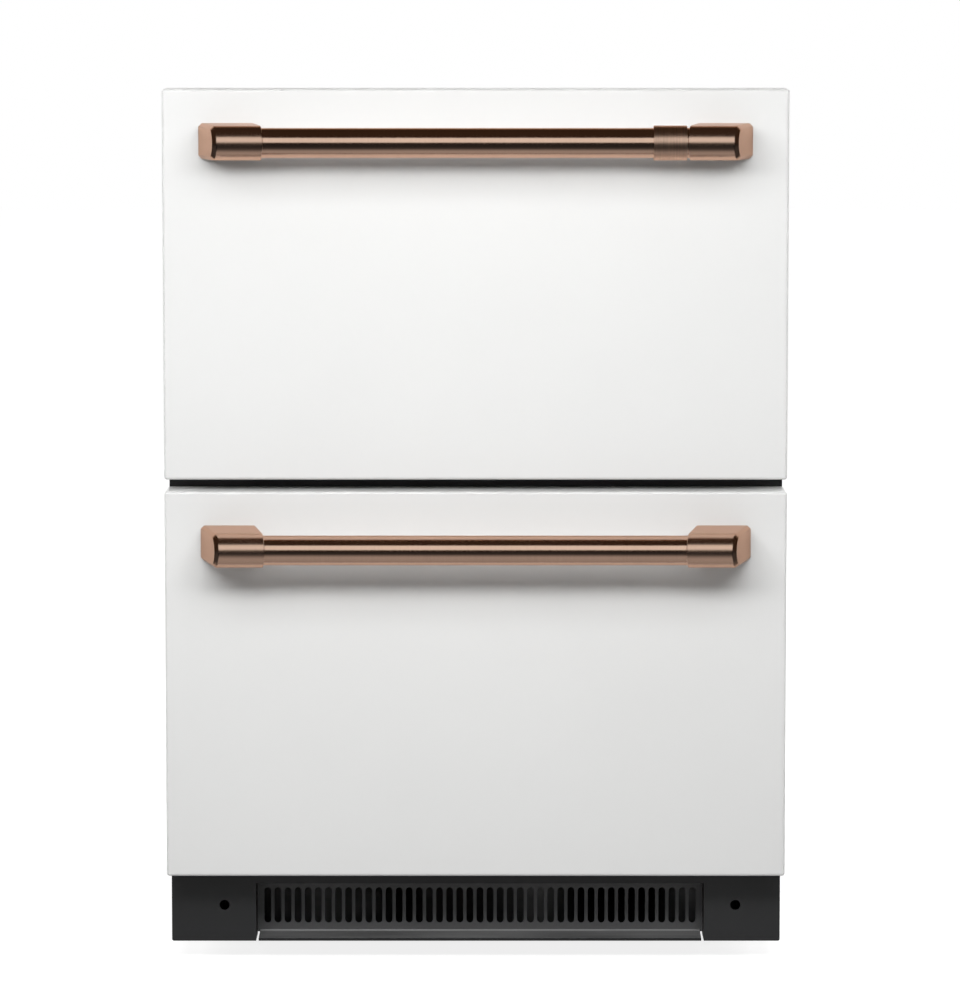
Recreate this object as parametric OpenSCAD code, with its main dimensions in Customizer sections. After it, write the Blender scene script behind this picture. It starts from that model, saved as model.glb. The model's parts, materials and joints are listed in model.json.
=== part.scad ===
// Undercounter refrigerator with two drawers and a front-vented toe-kick.
// Millimetres. +Z up, fronts towards -Y, origin on the floor under the middle of the unit.

/* [Cabinet] */
// How far the cabinet stays inside the fronts at each side
side_reveal = 1.5; // [1:0.5:6]
// How far the cabinet top lies below the top edge of the upper front
top_step = 18; // [16:1:30]
// Floor to the bottom edge of the lower front
kick_zone = 93.5; // [90:0.5:110]
// Floor to the underside of the base pan
base_clear = 25; // [22:1:28]
// Sheet thickness of the cabinet shell
shell_t = 1; // [0.8:0.1:1.5]
// How far the rear panels lie inside the back edge of the shell
rear_inset = 3; // [2.5:0.5:6]
// Thickness of the front frame
frame_t = 3; // [2:0.5:5]
// Width of the frame beside each opening
stile_w = 42; // [38:1:48]
// Height of the frame above the upper opening
head_h = 45; // [42:1:52]
// Height of the frame between the openings
mullion_h = 54; // [46:1:60]
// Height of the frame below the lower opening
sill_h = 40; // [36:1:48]
// Corner radius of the openings
opening_r = 8; // [3:1:12]
// Wall thickness of the liners
liner_t = 1.5; // [1:0.1:2.5]
// Insulated thickness behind each liner
rear_wall = 40; // [34:1:46]
// Depth of the machine bay, from the back edge
bay_d = 190; // [186:1:205]
// Height of the machine bay above the base pan's underside
bay_h = 340; // [330:1:370]

/* [Drawer fronts] */
// Width of each front
front_w = 603; // [540:1:660]
// Height of each front
front_h = 377.5; // [370:0.5:400]
// Gap between the two fronts
front_gap = 11.5; // [6:0.5:14]
// Thickness of each front
front_t = 46; // [38:1:56]
// Edge radius of the fronts
front_r = 3; // [2.5:0.5:6]
// Thickness of the painted skin
skin_t = 1.2; // [0.8:0.1:2]
// Thickness of the inner panel
panel_t = 2; // [1.5:0.1:3]
// How far the inner panel's raised middle reaches into the opening
plateau_d = 10; // [6:1:16]
// Space between the raised middle and the opening's edge
plateau_gap = 8; // [5:1:14]
// Space between front and frame, which the gasket fills
seal_t = 6; // [5:0.5:10]
// Width of the gasket
seal_w = 14; // [10:1:15]
// Space left between the closed gasket and the frame
seal_clear = 0.3; // [0.2:0.05:0.6]

/* [Handles] */
// Side of a front to the end of its handle
handle_side = 35; // [25:1:60]
// Diameter of the bar
bar_d = 28.5; // [22:0.5:32]
// Wall thickness of the bar
bar_t = 2; // [1.5:0.1:4]
// Front face to the middle of the bar
bar_out = 57.5; // [45:0.5:70]
// Top edge of a front to the middle of its bar
bar_drop = 50; // [40:0.5:70]
// Wall of a post round the bar
post_wall = 2.25; // [1.5:0.05:3]
// Height of a post at its base
post_base_h = 34.5; // [33.5:0.5:46]
// Width of a post at its base
post_base_w = 52.5; // [40:0.5:60]
// How far a post's outer face leans inwards at its front
post_lean_out = 18.5; // [8:0.5:22]
// How far a post's inner face leans inwards at its front
post_lean_in = 13; // [4:0.5:16]
// Chamfer round a post's outer face
post_chamfer = 3.4; // [1:0.1:4]
// How far the bar reaches into each post
bar_insert = 20; // [16:1:24]
// Play between the bar and what it passes through
bar_play = 0.1; // [0.05:0.05:0.2]
// Width of the collar on the upper bar
collar_w = 31.5; // [10:0.5:40]
// Groove between the collar and its post
collar_groove = 0.6; // [0.4:0.1:3]

/* [Drawers] */
// Length of the lower drawer's slides, which is its bin's depth and its travel
lower_slide_len = 290; // [260:1:330]
// Front frame to the front end of the slides
slide_set = 3; // [2:0.5:6]
// Space behind the lower bin
lower_bin_space = 24; // [16:1:40]
// Space between the upper bin and the evaporator cover
upper_bin_space = 42; // [30:1:60]
// Width of a slide from the liner to the bin
slide_w = 12.7; // [12.2:0.1:14]
// Height of a slide
slide_h = 46; // [40:1:52]
// Sheet thickness of the slide members
member_t = 1.5; // [1.2:0.1:1.8]
// Running clearance between slide members
run_clear = 0.4; // [0.3:0.05:0.6]
// Height of the slides' middle above the underside of a bin
slide_rise = 36; // [30:1:60]
// Height of the upper bin
upper_bin_h = 200; // [120:1:250]
// Height of the lower bin
lower_bin_h = 230; // [120:1:270]
// Wall thickness of the bins
bin_t = 2.5; // [2:0.1:4]
// Corner radius of the bins
bin_r = 6; // [4:1:16]
// Space under each bin
bin_gap = 8; // [4:1:14]
// Height of the divider in the upper bin
divider_h = 150; // [80:1:180]
// Thickness of the divider
divider_t = 2; // [1.5:0.1:4]

/* [Toe-kick] */
// Floor to the bottom edge of the kick plate
kick_z0 = 19.5; // [10:0.5:21]
// Sheet thickness of the kick plate and grille
kick_t = 1.2; // [0.8:0.1:2]
// Side of the kick plate to its recess, with the recess in the middle
kick_side_w = 79; // [70:1:110]
// How far the recess and the round holes lie to the right of the middle
kick_shift = 4; // [0:0.5:6]
// Depth of the recess
grille_d = 35; // [25:1:45]
// Floor to the top of the recess
grille_z1 = 77; // [64:1:80]
// Width of one slot
slot_w = 6.8; // [4:0.1:8]
// Distance from slot to slot
slot_pitch = 10.05; // [9:0.05:16]
// Height of one slot
slot_h = 35.5; // [25:0.5:38]
// Top of the recess to the top of the slots
slot_drop = 11; // [6:0.5:12]
// Rise of the ledge from its front edge to the grille
ledge_rise = 2; // [1:0.5:4]
// Open slit at each end of the ledge
ledge_slit = 2.4; // [1:0.1:5]
// Corner radius of the kick plate
kick_corner_r = 2; // [1:0.5:4]
// Radius of the two round holes in the kick plate
kick_hole_r = 5; // [3:0.5:7]
// Side of the kick plate to each round hole
kick_hole_side = 48; // [30:1:60]
// Floor to the middle of the round holes
kick_hole_z = 55.5; // [40:0.5:65]

/* [Levelling legs] */
// Radius of the threaded stud
stud_r = 5; // [4:0.5:6]
// Play between a stud and its bush
stud_play = 0.1; // [0.05:0.05:0.2]
// Radius of a foot
foot_r = 17; // [14:1:22]
// Thickness of a foot
foot_t = 6; // [4:1:8]
// Floor to the top of the stud
stud_top = 66; // [60:1:72]
// Kick plate face to the front legs
leg_set = 110; // [75:1:125]
// Back edge to the rear legs
leg_set_back = 45; // [35:1:70]
// Side of the cabinet to the legs
leg_set_side = 38; // [32:1:60]

/* [Cooling] */
// Radius of the compressor shell
compressor_r = 72; // [60:1:76]
// Height of the compressor shell
compressor_h = 147; // [120:1:170]
// Radius of the condenser fan
condenser_fan_r = 65; // [50:1:68]
// Radius of the evaporator fan
evaporator_fan_r = 44; // [35:1:48]
// Space behind the evaporator cover
evaporator_space = 62; // [58:1:70]
// Gap round each fan
fan_gap = 4; // [2:0.5:6]
// Radius of the fan shafts
shaft_r = 3; // [2:0.5:4]
// Play between a fan and its shaft
shaft_play = 0.05; // [0.02:0.01:0.1]
// Radius of the refrigerant tubes
tube_r = 4; // [3:0.5:5]

/* [Controls] */
// Width of the control panel
control_w = 160; // [140:1:220]
// Height of the control panel
control_h = 20; // [16:1:22]
// How far the panel stands out of the frame
control_out = 3; // [1:0.5:3.5]
// Radius of a push button
button_r = 5; // [4:0.5:7]
// How far a button stands out of the panel
button_out = 1.5; // [1.2:0.1:1.7]
// Play round a button
button_play = 0.3; // [0.2:0.05:0.5]
// Distance from button to button
button_pitch = 18; // [15:1:24]

/* [Hidden] */
$fn = 64;
e = 0.01;

// depths, front to back
cabinet_w = front_w - 2 * side_reveal;
cabinet_d = frame_t + slide_set + lower_slide_len + lower_bin_space + rear_wall + bay_d;
post_r = bar_d / 2 + post_wall;
handle_reach = bar_out + post_r;
handle_len = front_w - 2 * handle_side;
grille_w = cabinet_w - 2 * kick_side_w;
face_y = -(handle_reach + front_t + seal_t + cabinet_d) / 2 + handle_reach;
front_back_y = face_y + front_t;
cab_y = front_back_y + seal_t;
frame_back_y = cab_y + frame_t;
back_y = cab_y + cabinet_d;
rear_y = back_y - rear_inset;
bay_y = back_y - bay_d;
upper_back_y = back_y - rear_wall;
lower_back_y = bay_y - rear_wall;
bar_y = face_y - bar_out;
plateau_y = front_back_y + plateau_d;
kick_y = front_back_y + 1;

// heights, bottom to top
lower_z = kick_zone;
upper_z = lower_z + front_h + front_gap;
cab_top = upper_z + front_h - top_step;
mid_z = upper_z - front_gap / 2;
lower_open = [kick_zone + sill_h, mid_z - mullion_h / 2];
upper_open = [mid_z + mullion_h / 2, cab_top - head_h];
bay_top = base_clear + bay_h;
kick_z1 = kick_zone - 1.5;

// widths, from the middle
half_w = cabinet_w / 2;
open_x = half_w - stile_w;
bin_x = open_x - slide_w;
slide_y = frame_back_y + slide_set;
kick_hole_x = half_w - kick_hole_side;
evap_cover_y = upper_back_y - evaporator_space;
upper_slide_len = evap_cover_y - upper_bin_space - slide_y;

// base pan and legs
pan_t = 1.5;
pan_flange = 20;
pan_front_y = kick_y + grille_d + kick_t + 1;
pan_top = base_clear + pan_t;
bush_h = 12;
bush_r = stud_r + 4;
leg_x = half_w - leg_set_side;
leg_y = [kick_y + leg_set, back_y - leg_set_back];

// screws
screw_r = 2;
screw_play = 0.2;
head_r = 4.5;
head_t = 2;
cover_screw_x = [-(half_w - 18), 0, half_w - 18];
cover_top = bay_top - 7;
handle_screw_r = 2.5;
handle_screw_x = handle_len / 2 - post_base_w / 2;
handle_screw_z = 8;
handle_screw_in = 16;
bin_screw_x = 150;
bin_screw_z = [60, 100];

// cooling parts
mount_r = 10;
mount_h = 14;
comp_foot_x = compressor_r + 13;
comp_foot_y = compressor_r - 17;
comp_rim = 14;
comp_plate_t = 2.5;
comp_x = leg_x - bush_r - 4 - comp_rim - comp_foot_x;
comp_y = rear_y - compressor_r - 18;
comp_plate_z = pan_top + mount_h;
comp_top = comp_plate_z + comp_plate_t + compressor_h;
drip_h = 20;
coil_gap = 38;
coil_d = 40;
coil_rise = 14;
coil_w = cabinet_w / 3;
coil_x = [-half_w + coil_gap, -half_w + coil_gap + coil_w];
coil_y = [bay_y + 15, bay_y + 15 + coil_d];
coil_z = [pan_top + coil_rise, pan_top + coil_rise + 2 * condenser_fan_r];
ring_t = 2;
fan_x = (coil_x[0] + coil_x[1]) / 2;
fan_z = pan_top + drip_h + 11 + ring_t + fan_gap + condenser_fan_r;
evap_d = 48;
evap_side = 68;
evap_clear = 22;
evap_fan_drop = 17.25;
evap_fan_z = upper_open[1] - evap_fan_drop - fan_gap - evaporator_fan_r;
evap_x = open_x - evap_side;
evap_y = [upper_back_y - evap_d, upper_back_y];
evap_z = [upper_open[0] + evap_clear, evap_fan_z - evaporator_fan_r - evap_clear];
evap_motor_r = 17;
evap_motor_l = 22;
cond_motor_r = 24;
cond_motor_l = 36;
drier_r = 12;
drier_x = coil_x[1] + 42;
drier_y = rear_y - drier_r - 23;
drier_len = 110;
drier_rise = 70;
drier_cone = 14;
drier_z = [pan_top + drier_rise, pan_top + drier_rise + drier_len];
capillary_r = tube_r - 1.5;
riser_gap = 3;
riser_x = open_x - tube_r - 6;
riser_y = upper_back_y - 33;
capillary_x = riser_x - 16;

// controls
control_z = upper_open[1] + seal_w + 4 + control_h / 2;
control_in = 8;
button_len = 6;
button_x = control_w / 2 - 14;
button_travel = 1;

// counter brackets
bracket_x = half_w - 100;
bracket_w = 40;
bracket_t = 2;
bracket_y = cab_y + 12;
bracket_foot = 30;
bracket_top = cab_top + 14;
bracket_hole_r = 2.5;
bracket_holes = [42, 60];
bracket_len = 72;

// ---- shared shapes ----

// box between two corners
module span(x, y, z) {
  translate([x[0], y[0], z[0]]) cube([x[1] - x[0], y[1] - y[0], z[1] - z[0]]);
}

// outline in X and Z, carried along Y
module plate_y(y) {
  translate([0, y[1], 0]) rotate([90, 0, 0]) linear_extrude(y[1] - y[0]) children();
}

// outline in Y and Z, carried along X
module plate_x(x) {
  translate([x[0], 0, 0]) rotate([90, 0, 90]) linear_extrude(x[1] - x[0]) children();
}

// outline in X and Y, carried along Z
module plate_z(z) {
  translate([0, 0, z[0]]) linear_extrude(z[1] - z[0]) children();
}

module both_sides() {
  children();
  mirror([1, 0, 0]) children();
}

module rect(x, z) {
  translate([x[0], z[0]]) square([x[1] - x[0], z[1] - z[0]]);
}

module round_rect(x, z, r) {
  rect([x[0] + r, x[1] - r], z);
  rect(x, [z[0] + r, z[1] - r]);
  for (px = [x[0] + r, x[1] - r], pz = [z[0] + r, z[1] - r]) translate([px, pz]) circle(r);
}

// cylinder along Y
module rod_y(x, y, z, r) {
  translate([x, y[1], z]) rotate([90, 0, 0]) cylinder(r = r, h = y[1] - y[0]);
}

// cylinder along X
module rod_x(x, y, z, r) {
  translate([x[0], y, z]) rotate([0, 90, 0]) cylinder(r = r, h = x[1] - x[0]);
}

// slab standing across Y with its front and upright edges rounded
module front_slab(x, y, z, r) {
  plate_y([y[0] + r, y[1]]) round_rect(x, z, r);
  plate_y([y[0], y[0] + r + e]) rect([x[0] + r, x[1] - r], [z[0] + r, z[1] - r]);
  for (pz = [z[0] + r, z[1] - r]) rod_x([x[0] + r, x[1] - r], y[0] + r, pz, r);
  for (px = [x[0] + r, x[1] - r]) {
    translate([px, y[0] + r, z[0] + r]) cylinder(r = r, h = z[1] - z[0] - 2 * r);
    for (pz = [z[0] + r, z[1] - r]) translate([px, y[0] + r, pz]) sphere(r);
  }
}

// pipe whose straight runs lie along the axes
module pipe(points, r) {
  for (i = [0 : len(points) - 2]) {
    a = points[i];
    d = points[i + 1] - a;
    translate(a)
      rotate(d[0] != 0 ? [0, sign(d[0]) * 90, 0]
        : d[1] != 0 ? [-sign(d[1]) * 90, 0, 0]
        : [d[2] < 0 ? 180 : 0, 0, 0])
        cylinder(r = r, h = norm(d));
    if (i > 0) translate(a) sphere(r);
  }
}

// screw along Y: head in front of y, shank behind it
module screw_y(x, y, z, r, head, thick, len) {
  rod_y(x, [y - thick, y], z, head);
  rod_y(x, [y - e, y + len], z, r);
}

// ---- cabinet ----

module outer_wrapper() color("#1c1c1e") difference() {
  plate_y([frame_back_y, back_y]) difference() {
    rect([-half_w, half_w], [base_clear, cab_top]);
    rect([-half_w + shell_t, half_w - shell_t], [base_clear - 1, cab_top - shell_t]);
  }
  bracket_screw_holes(screw_r + screw_play);
}

module bracket_screw_holes(r) {
  both_sides() for (dx = [-12, 12])
    translate([bracket_x + dx, bracket_y + 15, cab_top - 12]) cylinder(r = r, h = 20);
}

module rear_panel() color("#8d9092")
  plate_y([rear_y, rear_y + shell_t])
    rect([-half_w + shell_t, half_w - shell_t], [cover_top + 1, cab_top - shell_t]);

cover_screw_z = [base_clear + 12, cover_top - 8];
louvre_z = 50;
louvre_h = 6;
louvre_pitch = 15;
louvre_w = cabinet_w * 0.3;
louvre_count = floor((bay_h - 155) / louvre_pitch);

module cover_screw_holes(y, r) {
  for (x = cover_screw_x, z = cover_screw_z) rod_y(x, y, z, r);
}

inlet_x = -half_w + 115;
inlet_z = cover_top - 50;
inlet_w = 40;
inlet_h = 28;
socket_w = 24;
socket_h = 16;

module inlet_outline(grow) {
  rect([inlet_x - inlet_w / 2 - grow, inlet_x + inlet_w / 2 + grow],
    [inlet_z - inlet_h / 2 - grow, inlet_z + inlet_h / 2 + grow]);
}

module machine_cover() color("#9a9da0") difference() {
  plate_y([rear_y, rear_y + shell_t]) difference() {
    rect([-half_w + shell_t, half_w - shell_t], [base_clear, cover_top]);
    // two fields of louvre openings
    for (cx = [-half_w / 2, half_w / 2], i = [0 : louvre_count - 1])
      translate([cx, base_clear + louvre_z + louvre_pitch * i])
        round_rect([-louvre_w / 2, louvre_w / 2], [0, louvre_h], louvre_h / 2 - 0.1);
    inlet_outline(0.3);
  }
  cover_screw_holes([rear_y - 1, rear_y + 5], screw_r + screw_play);
}

module base_pan() color("#3a3b3d") difference() {
  union() {
    span([-half_w + shell_t, half_w - shell_t], [pan_front_y, rear_y], [base_clear, pan_top]);
    both_sides() span([half_w - shell_t - pan_t, half_w - shell_t], [pan_front_y, rear_y],
      [base_clear, base_clear + pan_flange]);
    span([-half_w + shell_t, half_w - shell_t], [rear_y - pan_t, rear_y],
      [base_clear, base_clear + pan_flange]);
    // welded leg bushes
    for (x = [-leg_x, leg_x], y = leg_y) translate([x, y, pan_top - e])
      cylinder(r = bush_r, h = bush_h + e);
  }
  for (x = [-leg_x, leg_x], y = leg_y) translate([x, y, base_clear - 1])
    cylinder(r = stud_r + stud_play, h = bush_h + pan_t + 2);
  cover_screw_holes([rear_y - 10, rear_y + 5], screw_r + screw_play);
}

// folded sheet under the foam: duct ceiling, step and machine-bay ceiling
module machine_bay_sheet() color("#4a4c4f") difference() {
  plate_x([-half_w + shell_t, half_w - shell_t]) {
    rect([frame_back_y, bay_y + shell_t], [kick_zone - shell_t, kick_zone]);
    rect([bay_y, bay_y + shell_t], [kick_zone - shell_t, bay_top]);
    rect([bay_y, rear_y], [bay_top - shell_t, bay_top]);
    rect([rear_y - shell_t, rear_y], [bay_top - 22, bay_top]);
  }
  riser_channel(1);
  cover_screw_holes([rear_y - 10, rear_y + 5], screw_r + screw_play);
}

// passage for the two refrigerant tubes up to the evaporator
module riser_channel(grow) {
  span([capillary_x - capillary_r - riser_gap, riser_x + tube_r + riser_gap],
    [riser_y - tube_r - riser_gap, riser_y + tube_r + riser_gap],
    [bay_top - shell_t - grow, upper_open[0] + grow]);
}

module insulation() color("#e8dcae") difference() {
  plate_x([-half_w + shell_t, half_w - shell_t]) polygon([
    [frame_back_y, kick_zone], [bay_y, kick_zone], [bay_y, bay_top], [rear_y, bay_top],
    [rear_y, cab_top - shell_t], [frame_back_y, cab_top - shell_t]]);
  for (o = [[upper_open, upper_back_y], [lower_open, lower_back_y]])
    span([-open_x - liner_t, open_x + liner_t], [frame_back_y - 1, o[1] + liner_t],
      [o[0][0] - liner_t, o[0][1] + liner_t]);
  riser_channel(0);
  span([-control_w / 2 - 1, control_w / 2 + 1], [frame_back_y - 1, cab_y + control_in + 1],
    [control_z - control_h / 2 - 1, control_z + control_h / 2 + 1]);
  bracket_screw_holes(screw_r + 1);
}

module liner(open, back_y) {
  difference() {
    plate_y([frame_back_y, back_y + liner_t]) round_rect([-open_x - liner_t, open_x + liner_t],
      [open[0] - liner_t, open[1] + liner_t], opening_r + liner_t);
    plate_y([frame_back_y - 1, back_y]) round_rect([-open_x, open_x], open, opening_r);
  }
}

module upper_liner() color("#f4f5f5") difference() {
  liner(upper_open, upper_back_y);
  riser_channel(1);
}

module lower_liner() color("#f4f5f5") liner(lower_open, lower_back_y);

module front_frame() color("#161617") plate_y([cab_y, frame_back_y]) difference() {
  rect([-half_w, half_w], [kick_zone, cab_top]);
  for (o = [lower_open, upper_open]) round_rect([-open_x, open_x], o, opening_r);
  rect([-control_w / 2, control_w / 2],
    [control_z - control_h / 2, control_z + control_h / 2]);
}

// ---- toe-kick ----

recess_x = [kick_shift - grille_w / 2, kick_shift + grille_w / 2];
recess_y = kick_y + grille_d;

module kick_plate() color("#26272a") difference() {
  union() {
    plate_y([kick_y, kick_y + kick_t]) difference() {
      round_rect([-half_w, half_w], [kick_z0, kick_z1], kick_corner_r);
      rect(recess_x, [kick_z0 - 1, grille_z1]);
    }
    // recess cheeks and ceiling, top flange, side tabs
    for (x = [recess_x[0] - kick_t, recess_x[1]])
      span([x, x + kick_t], [kick_y, recess_y + kick_t], [kick_z0, grille_z1 + kick_t]);
    both_sides() span([half_w - shell_t - kick_t, half_w - shell_t], [kick_y, pan_front_y],
      [base_clear + 1, kick_z1]);
    span([recess_x[0] - kick_t, recess_x[1] + kick_t], [kick_y, recess_y + kick_t],
      [grille_z1, grille_z1 + kick_t]);
    span([-half_w, half_w], [kick_y, frame_back_y - 1], [kick_z1 - kick_t, kick_z1]);
  }
  for (sx = [-1, 1])
    rod_y(kick_shift + sx * kick_hole_x, [kick_y - 1, kick_y + 5], kick_hole_z, kick_hole_r);
}

slot_count = floor((grille_w - 12 - slot_w) / slot_pitch) + 1;
slot_z1 = grille_z1 - slot_drop;
slot_z0 = slot_z1 - slot_h;
ledge_z = kick_z0 + ledge_rise;

// slotted panel at the back of the recess, with the ledge folded forward from its foot
module kick_grille() color("#313235") {
  plate_y([recess_y, recess_y + kick_t]) difference() {
    rect(recess_x, [ledge_z, grille_z1]);
    for (i = [0 : slot_count - 1])
      translate([kick_shift + (i - (slot_count - 1) / 2) * slot_pitch, 0])
        round_rect([-slot_w / 2, slot_w / 2], [slot_z0, slot_z1], slot_w / 2 - e);
  }
  plate_x([recess_x[0] + ledge_slit, recess_x[1] - ledge_slit]) polygon([
    [kick_y, kick_z0], [kick_y, kick_z0 + 2 * kick_t],
    [recess_y + kick_t / 2, ledge_z + 2 * kick_t], [recess_y + kick_t / 2, ledge_z]]);
}

// ---- slides: section of each member seen from the front, right-hand side ----

module slide_channel(u, h, t) {
  rect([open_x - u[1], open_x - u[0]], [-h / 2, -h / 2 + t]);
  rect([open_x - u[1], open_x - u[0]], [h / 2 - t, h / 2]);
}

mid_h = slide_h - 2 * (member_t + run_clear);
inner_h = mid_h - 2 * (member_t + run_clear);
mid_u = [member_t + 2, slide_w - 2];

module rail_section() {
  slide_channel([0, slide_w - 2], slide_h, member_t);
  rect([open_x - member_t, open_x], [-slide_h / 2, slide_h / 2]);
}

module mid_section() {
  slide_channel(mid_u, mid_h, member_t);
  rect([open_x - mid_u[0] - member_t, open_x - mid_u[0]], [-mid_h / 2, mid_h / 2]);
}

module inner_section() {
  slide_channel([mid_u[0] + member_t + 2, slide_w], inner_h, member_t);
  rect([open_x - slide_w, open_x - slide_w + member_t], [-inner_h / 2, inner_h / 2]);
}

module slides(open, length) {
  both_sides() translate([0, 0, open[0] + bin_gap + slide_rise])
    plate_y([slide_y, slide_y + length]) children();
}

module slide_rails() color("#b9bcc0") {
  slides(upper_open, upper_slide_len) rail_section();
  slides(lower_open, lower_slide_len) rail_section();
}

module upper_middle_slides() color("#c6c9cc") slides(upper_open, upper_slide_len) mid_section();
module lower_middle_slides() color("#c6c9cc") slides(lower_open, lower_slide_len) mid_section();
module upper_drawer_slides() color("#c6c9cc") slides(upper_open, upper_slide_len) inner_section();
module lower_drawer_slides() color("#c6c9cc") slides(lower_open, lower_slide_len) inner_section();

// ---- fans, coils and the rest of the cooling circuit ----

module fan(x, y, z, r, blades) {
  translate([x, y, z]) rotate([90, 0, 0]) difference() {
    union() {
      cylinder(r = r * 0.3, h = 16, center = true);
      for (i = [0 : blades - 1]) rotate(i * 360 / blades)
        translate([r * 0.6, 0, 0]) rotate([32, 0, 0]) cube([r * 0.78, r * 0.42, 1.6], center = true);
    }
    cylinder(r = shaft_r + shaft_play, h = 40, center = true);
  }
}

// motor behind a fan, on a bar whose two feet stand on the plate at y_plate
module fan_motor(x, y_plate, y_fan, z, r, arm, body_r, body_l) {
  y_body = y_fan + 12;
  rod_y(x, [y_fan - 7, y_body + e], z, shaft_r);
  rod_y(x, [y_body, y_body + body_l], z, body_r);
  span([x - arm, x + arm], [y_body, y_body + 4], [z - 7, z + 7]);
  for (s = [-1, 1]) span([x + s * arm - 4, x + s * arm + 4], [y_plate, y_body + 4], [z - 7, z + 7]);
}

// the two upright columns of tubes in a coil
function column_y(y, back) = y[0] + (y[1] - y[0]) * (back ? 0.75 : 0.25);

// fins on tubes that run along X; the tubes open at the top right, and a bend at the bottom
// right joins the two columns
module coil(x, y, z, fin_gap, rows) {
  end_t = 1.5;
  for (px = x) span([px - end_t / 2, px + end_t / 2], y, z);
  fins = floor((x[1] - x[0]) / fin_gap);
  for (i = [1 : fins - 1]) {
    fx = x[0] + i * (x[1] - x[0]) / fins;
    span([fx - 0.4, fx + 0.4], [y[0] + 2, y[1] - 2], [z[0] + 4, z[1] - 4]);
  }
  pitch = (z[1] - z[0]) / rows;
  for (py = [column_y(y, false), column_y(y, true)]) {
    for (i = [0 : rows - 1]) rod_x([x[0] - 6, x[1] + 6], py, z[0] + (i + 0.5) * pitch, tube_r);
    for (i = [0 : rows - 2])
      translate([i % 2 == 0 ? x[0] - 6 : x[1] + 6, py, z[0] + (i + 1) * pitch])
        rotate([90, i % 2 == 0 ? -90 : 90, 0]) half_bend(pitch / 2);
  }
  translate([x[1] + 6, (y[0] + y[1]) / 2, z[0] + pitch / 2]) rotate(-90) half_bend((y[1] - y[0]) / 4);
}

module half_bend(r) {
  rotate_extrude(angle = 180) translate([r, 0]) circle(tube_r);
}

module evaporator() color("#b8bcc0")
  coil([-evap_x, evap_x], evap_y, evap_z, 12, 4);

module condenser() color("#3d4043") {
  coil(coil_x, coil_y, coil_z, 9, 4);
  // feet of the two end plates
  for (px = coil_x) span([px - 0.75, px + 0.75], [coil_y[0], coil_y[1]], [pan_top, coil_z[0] + 1]);
}

vent_side = floor((open_x - 30) / 28) - 1;
module evaporator_cover() color("#eceded") {
  difference() {
    plate_y([evap_cover_y, evap_cover_y + 2]) difference() {
      rect([-open_x + 0.5, open_x - 0.5], [upper_open[0] + 0.5, upper_open[1] - 0.5]);
      translate([0, evap_fan_z]) circle(evaporator_fan_r + fan_gap);
      for (i = [-vent_side : vent_side]) translate([i * 28, 0])
        round_rect([-10, 10], [upper_open[0] + 14, upper_open[0] + 22], 3);
    }
    // corners follow the liner
    both_sides() for (z = upper_open) translate([open_x, evap_cover_y, z])
      cube([2 * opening_r, 8, 2 * opening_r], center = true);
  }
  // guard bars over the fan opening
  for (i = [-3 : 3]) span([-evaporator_fan_r - 8, evaporator_fan_r + 8],
    [evap_cover_y, evap_cover_y + 2], [evap_fan_z + i * 12 - 1.5, evap_fan_z + i * 12 + 1.5]);
  span([-2, 2], [evap_cover_y, evap_cover_y + 2],
    [evap_fan_z - evaporator_fan_r - 8, min(evap_fan_z + evaporator_fan_r + 8, upper_open[1] - 1)]);
}

evap_fan_y = evap_cover_y + 14;
module evaporator_fan() color("#d9dadb") fan(0, evap_fan_y, evap_fan_z, evaporator_fan_r, 5);
module evaporator_fan_motor() color("#55585c")
  fan_motor(0, evap_cover_y + 2, evap_fan_y, evap_fan_z, evaporator_fan_r,
    evaporator_fan_r + fan_gap + 6, evap_motor_r, evap_motor_l);

shroud_y = coil_y[1];
cond_fan_y = shroud_y + 16;
module condenser_shroud() color("#1f2022") {
  plate_y([shroud_y, shroud_y + 2]) difference() {
    rect(coil_x, [pan_top, fan_z + condenser_fan_r + fan_gap + 18]);
    translate([fan_x, fan_z]) circle(condenser_fan_r + fan_gap);
  }
  difference() {
    rod_y(fan_x, [shroud_y, shroud_y + 26], fan_z, condenser_fan_r + fan_gap + ring_t);
    rod_y(fan_x, [shroud_y - 1, shroud_y + 27], fan_z, condenser_fan_r + fan_gap);
  }
}
module condenser_fan() color("#2d2f31") fan(fan_x, cond_fan_y, fan_z, condenser_fan_r, 6);
module condenser_fan_motor() color("#55585c")
  fan_motor(fan_x, shroud_y + 2, cond_fan_y, fan_z, condenser_fan_r,
    condenser_fan_r + fan_gap + 10, cond_motor_r, cond_motor_l);

module compressor() color("#17181a") {
  translate([comp_x, comp_y, 0]) {
    difference() {
      plate_z([comp_plate_z, comp_plate_z + comp_plate_t])
        round_rect([-comp_foot_x - comp_rim, comp_foot_x + comp_rim],
          [-comp_foot_y - comp_rim, comp_foot_y + comp_rim], 12);
      for (sx = [-1, 1], sy = [-1, 1]) translate([sx * comp_foot_x, sy * comp_foot_y, comp_plate_z - 1])
        cylinder(r = 4.2, h = 6);
    }
    // shell with rounded shoulders
    translate([0, 0, comp_plate_z + comp_plate_t]) rotate_extrude() intersection() {
      round_rect([-compressor_r, compressor_r], [0, compressor_h], 26);
      rect([0, compressor_r], [0, compressor_h]);
    }
    // weld seam
    translate([0, 0, comp_plate_z + 62]) cylinder(r = compressor_r + 2, h = 4);
    // terminal cover
    span([-24, 24], [-compressor_r - 14, -compressor_r * 0.7], [comp_plate_z + 74, comp_plate_z + 116]);
    // stubs for the suction and discharge tubes
    rod_x([compressor_r * 0.8, compressor_r + 12], 0, comp_plate_z + 82, tube_r + 1);
    translate([0, 0, comp_top - 6]) cylinder(r = tube_r + 1, h = 14);
  }
}

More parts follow.
